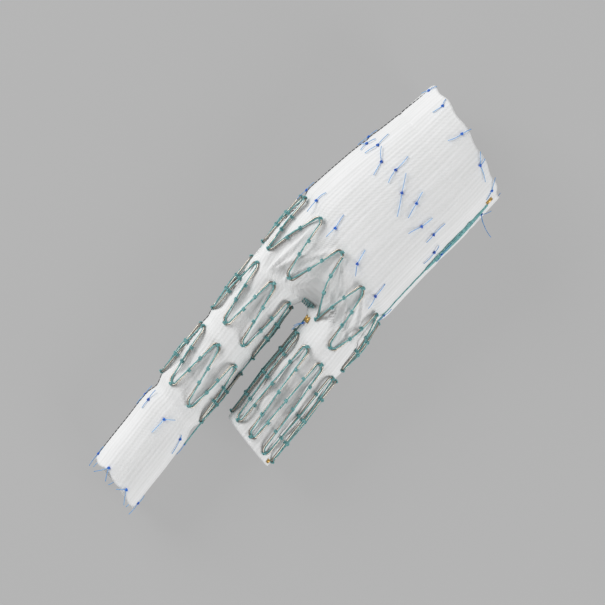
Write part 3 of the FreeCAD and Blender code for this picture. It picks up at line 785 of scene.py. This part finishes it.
# Monofilament knots
# Blue polypropylene ties the bends of the three inner stents to the fabric, and the gold markers. Each knot
# shows outside with two or three stiff cut ends, which lie off at odd angles.
FILAMENT_RADIUS = 0.07
FILAMENT_KNOT = 0.2
HIDDEN_ENDS = [(-2.6, 0.5), (2.2, -0.4)]
MARKER_KNOTS = {
    "trunk_mouth_knots": (over_trunk, 5.0, -82.0, [(-1.3, -2.4), (-1.9, -4.6), (1.9, -0.9)]),
    "trunk_lower_knots": (over_short, 4.5, 70.0, [(-2.6, 0.6), (-1.7, 0.9)]),
}
KNOT_ROWS = {
    "trunk_mouth_knots": (TRUNK, MOUTH_STENT[0], MOUTH_STENT[2], {
        2: [(2.15, -0.75), (-2.1, 1.0)],
        1: [(-2.35, 0.5), (1.4, 0.5)],
        0: [(-2.9, 1.05), (2.0, -0.65)],
        -1: [(2.1, 2.15), (-1.7, -3.35), (1.7, 0.35)],
        -2: [(3.0, 1.85), (-2.2, -0.6)],
    }),
    "trunk_upper_middle_knots": (TRUNK, MOUTH_STENT[1], MOUTH_STENT[2] + 180 / TRUNK_POINTS, {
        1: [(-3.0, 0.7), (3.1, 0.05)],
        0: [(-2.85, -0.8), (3.65, 0.15)],
        -1: [(2.5, 0.8), (-3.25, -0.9)],
        -2: [(-2.1, -0.05), (3.2, 0.0)],
        -3: [(2.8, 0.1), (-2.2, -0.4)],
    }),
    "trunk_lower_middle_knots": (TRUNK, MIDDLE_STENT[0], MIDDLE_STENT[2], {
        2: [(-1.4, 1.4), (2.1, -0.7), (-1.9, -0.1)],
        1: [(-3.0, -0.8), (2.4, 2.35)],
        0: [(3.35, 2.2), (-4.0, -2.7)],
        -1: [(-2.8, 0.9), (2.7, -0.3)],
        -2: [(-3.1, -0.05), (1.8, 0.4)],
    }),
    "trunk_lower_knots": (TRUNK, MIDDLE_STENT[1], MIDDLE_STENT[2] + 180 / TRUNK_POINTS, {
        1: [(-2.85, -0.3), (2.55, -0.3)],
        0: [(-2.5, 0.05), (3.1, 0.7)],
        -1: [(3.1, 0.85), (-2.0, -1.5)],
        -2: [(3.15, 0.4), (-2.75, -0.7)],
        -3: [(-1.5, 0.0), (2.15, -0.2)],
    }),
    "long_leg_upper_knots": (LONG, LEG_END_STENT[0], LEG_END_STENT[2], {
        1: [(-2.15, -0.3), (2.35, 0.3)],
        0: [(-3.6, -0.1), (1.5, -1.7)],
        -1: [(-3.4, -0.9), (0.9, 0.5)],
    }),
    "long_leg_end_knots": (LONG, LEG_END_STENT[1], LEG_END_STENT[2] + 180 / LONG_LEG_POINTS, {
        1: [(-2.9, -0.9), (1.6, 0.8)],
        0: [(-2.85, 1.7), (-2.4, -1.5)],
        -1: [(-1.4, 1.7), (-2.7, -1.85)],
        -2: [(-2.9, 0.35), (2.0, 0.25)],
    }),
}


def cut_end(start, step_away, out, curl):
    """A stiff end of monofilament that springs off the knot and bows a little."""
    away = Vector((*step_away, 0))
    length = away.length
    if out.z > 0.25:
        away.z = -(away.x * out.x + away.y * out.y) / out.z
    away = (away - out * away.dot(out)).normalized() * length
    bow = away.cross(out) * curl
    line = []
    for i in range(9):
        share = i / 8
        line.append(start + away * share + bow * (share * (1 - share)) + out * (0.12 * math.sin(3 * share)))
    return sweep(line, FILAMENT_RADIUS, 6)


def filament_finish(name, dark, light):
    """Smooth blue plastic thread."""
    finish = Finish(name, {
        "Roughness": 0.25, "Specular IOR Level": 0.5, "Coat Weight": 0.3, "Coat Roughness": 0.15,
    })
    tone = finish.ramp(finish.grain(finish.place(), 500.0), 0.4, 0.6)
    finish.wear(Base_Color=finish.blend(tone, dark, light))
    return finish


drawn_up_filament = filament_finish("blue_knots", (0.008, 0.1, 0.55, 1), (0.02, 0.2, 0.8, 1))
loose_filament = filament_finish("blue_ends", (0.07, 0.3, 0.68, 1), (0.18, 0.48, 0.85, 1))
for node, ((over, points, girth), distance, turn, ends) in KNOT_ROWS.items():
    parts = []
    cut_ends = []
    for i in range(points):
        index = i - points // 2
        angle = turn + 360.0 * index / points
        foot, out = over(distance, angle, 0.0)
        slope = (over(distance + 1, angle, 0.0)[0] - foot).normalized()
        out = (out - slope * out.dot(slope)).normalized()
        middle = foot + out * 0.22
        beside = slope.cross(out)
        parts.append(knot_loop(middle, slope, beside, out, FILAMENT_KNOT, FILAMENT_RADIUS))
        parts.append(knot_loop(middle + out * 0.05, beside, slope, out, FILAMENT_KNOT * 0.8, FILAMENT_RADIUS))
        for number, away in enumerate(ends.get(index, HIDDEN_ENDS)):
            curl = 0.5 * noise.noise(Vector((distance, index * 3.1, number * 2.3)))
            cut_ends.append(cut_end(middle, away, out, curl))
    if node in MARKER_KNOTS:
        over, distance, angle, ends = MARKER_KNOTS[node]
        foot, out = over(distance, angle, 0.3)
        parts.append(knot_loop(foot, OUTWARD, UP, out, FILAMENT_KNOT, FILAMENT_RADIUS))
        for away in ends:
            cut_ends.append(cut_end(foot, away, UP, 0.3))
    dressed(node, node + "_thread", parts, drawn_up_filament, cut_ends, loose_filament)


# Seams
# Green braid whips the two layers of fabric together over the edge between the legs. It also runs beside the
# trunk's seam, in a lens of strands with one strand below. Its strands down the legs' inner sides are partly
# painted shade: they also stand for the dark shaded band along the legs' undersides.
WHIP_TURNS = 7
WHIP_STEPS = 16
CROTCH_SLOPE = 2.4
STRAND_STEPS = 60
TRUNK_SEAM_ANGLE = -77.0
TRUNK_SEAM_START = 3.0
TRUNK_STRANDS = [(-1.5, 20.5), (-0.5, 20.5), (0.0, 38.0), (0.5, 20.5), (1.5, 20.5)]
LEG_SHADE_STRANDS = [(over_long, 1.5, 36.0, -91), (over_long, 8.0, 36.0, -95), (over_short, 1.5, 26.0, 91)]

whip = []
for i in range(WHIP_TURNS * WHIP_STEPS + 1):
    turn = i / WHIP_STEPS
    angle = 2 * math.pi * turn
    upstream = 0.35 - 0.5 * math.cos(angle)
    height = (FABRIC_WALL + 0.15 + CROTCH_SLOPE * max(upstream, 0)) * math.sqrt(abs(math.sin(angle)))
    y = CROTCH_OFFSET + LEG_GAP * (turn / WHIP_TURNS - 0.5) * 0.9
    z = LONG_LEG.start.z + math.copysign(height, math.sin(angle))
    whip.append(Vector((upstream - CROTCH_DISTANCE, y, z)))
dressed("crotch_stitches", "crotch_braid", [sweep(whip, BRAID_RADIUS, 6)], green_braid)

strands = []
for lean, last in TRUNK_STRANDS:
    strand = []
    for i in range(STRAND_STEPS + 1):
        share = i / STRAND_STEPS
        distance = mix(TRUNK_SEAM_START, last, share)
        spread = lean * 4.0 * (0.25 + 0.75 * math.sin(math.pi * share))
        waver = 0.4 * math.sin(distance * 2.2 + lean)
        strand.append(over_trunk(distance, TRUNK_SEAM_ANGLE + spread + waver, 0.14)[0])
    strands.append(sweep(strand, BRAID_RADIUS, 6))
# Strands down the legs' inner sides, partly painted shade along the legs' shaded undersides.
for over, first, last, angle in LEG_SHADE_STRANDS:
    strand = []
    for i in range(STRAND_STEPS + 1):
        distance = mix(first, last, i / STRAND_STEPS)
        strand.append(over(distance, angle + 2.0 * math.sin(distance * 1.3), 0.1)[0])
    strands.append(sweep(strand, BRAID_RADIUS, 6))
dressed("seam_threads", "seam_braid", strands, green_braid)


# Gold markers
# Short cut lengths of gold tube, which show on X-ray, tied on at the mouth, at the crotch and at the short
# leg's end.
GOLD_RADIUS = 0.27
GOLD_BORE_RADIUS = 0.14
GOLD_LIFT = 0.32
GOLD_SIDES = 20


def gold_tube(foot, out, along, length):
    """A short open tube that lies along the cloth."""
    along = (along - out * along.dot(out)).normalized()
    beside = along.cross(out)
    middle = foot + out * GOLD_LIFT
    corners, faces = [], []
    sides, outside, bore = GOLD_SIDES, GOLD_RADIUS, GOLD_BORE_RADIUS
    for end, radius in ((-0.5, outside), (0.5, outside), (0.5, bore), (-0.5, bore)):
        for j in range(sides):
            angle = 2 * math.pi * j / sides
            spoke = out * math.cos(angle) + beside * math.sin(angle)
            corners.append(middle + along * (end * length) + spoke * radius)
    for i in range(4):
        for j in range(sides):
            k = (j + 1) % sides
            here, there = i * sides, (i + 1) % 4 * sides
            faces.append((here + j, there + j, there + k, here + k))
    return corners, faces


def gold_finish():
    """Bright gold, a little scuffed."""
    finish = Finish("gold", {"Metallic": 1.0})
    marks = finish.grain(finish.place(), 1500.0)
    finish.wear(
        Base_Color=finish.blend(marks, (0.62, 0.36, 0.09, 1), (0.9, 0.62, 0.22, 1)),
        Roughness=marks * 0.25 + 0.2,
    )
    return finish


gold = gold_finish()
pair = [gold_tube(*over_short(3.2, angle, 0.0), SHORT_LEG.along, 1.28) for angle in (61, 72)]
mouth_tube = gold_tube(*over_trunk(2.6, -70.0, 0.0), Vector((1, 0.1, 0)), 1.6)
dressed("mouth_marker", "mouth_gold_tube", [mouth_tube], gold)
dressed("crotch_markers", "crotch_gold_tubes", pair, gold)
end_tube = gold_tube(*over_short(28.0, -60.0, 0.0), SHORT_LEG.along, 0.8)
dressed("short_leg_marker", "short_leg_gold_bead", [end_tube], gold)


# Painted edge shade
# A row of short black dashes along the long leg's side, from the mouth to the end of the leg, is painted
# shade: it stands for the dark rim where the tube turns away from the light, drawn as thin black thread lying
# on the fabric.
SHADE_LINE_RADIUS = 0.1
SHADE_DASH_PITCH = 0.9
SHADE_LINE_MOUTH_INSET = 10.0
SHADE_LINE_INSET_LENGTH = 12.0
SHADE_LINE_RUNS = [(over_trunk, 0.0, 44.5, 84.0), (over_long, 1.0, 52.3, 85.0)]
# Near-black colour of the painted edge shade line, with a faint grain.
edge_shade_black = Finish("edge_shade_black", {"Roughness": 0.8, "Specular IOR Level": 0.2})
shade_line_grain = edge_shade_black.grain(edge_shade_black.place(), 3000.0)
edge_shade_black.wear(Base_Color=edge_shade_black.blend(shade_line_grain, (0.008, 0.008, 0.01, 1), (0.05, 0.05, 0.055, 1)))
dashes = []
for over, first, last, angle in SHADE_LINE_RUNS:
    count = round((last - first) / SHADE_DASH_PITCH)
    for i in range(count):
        dash = []
        for share in (0.0, 0.25, 0.55, 0.85):
            distance = mix(first, last, (i + share) / count)
            relief = leg_relief(LONG_LEG, distance, angle)
            inset = 0.0
            if over is over_trunk:
                relief = trunk_relief(distance, angle)
                inset = SHADE_LINE_MOUTH_INSET * (1 - step(distance, 0.0, SHADE_LINE_INSET_LENGTH))
            dash.append(over(distance, angle - inset, relief + 0.02 + 0.06 * math.sin(math.pi * share))[0])
        dashes.append(sweep(dash, SHADE_LINE_RADIUS, 6))
# The dashes make one object, the painted shade line along the tube's side.
shade_line_piece = mesh_object("painted_edge_shade", *gathered(dashes), edge_shade_black)
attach(shade_line_piece, "root")
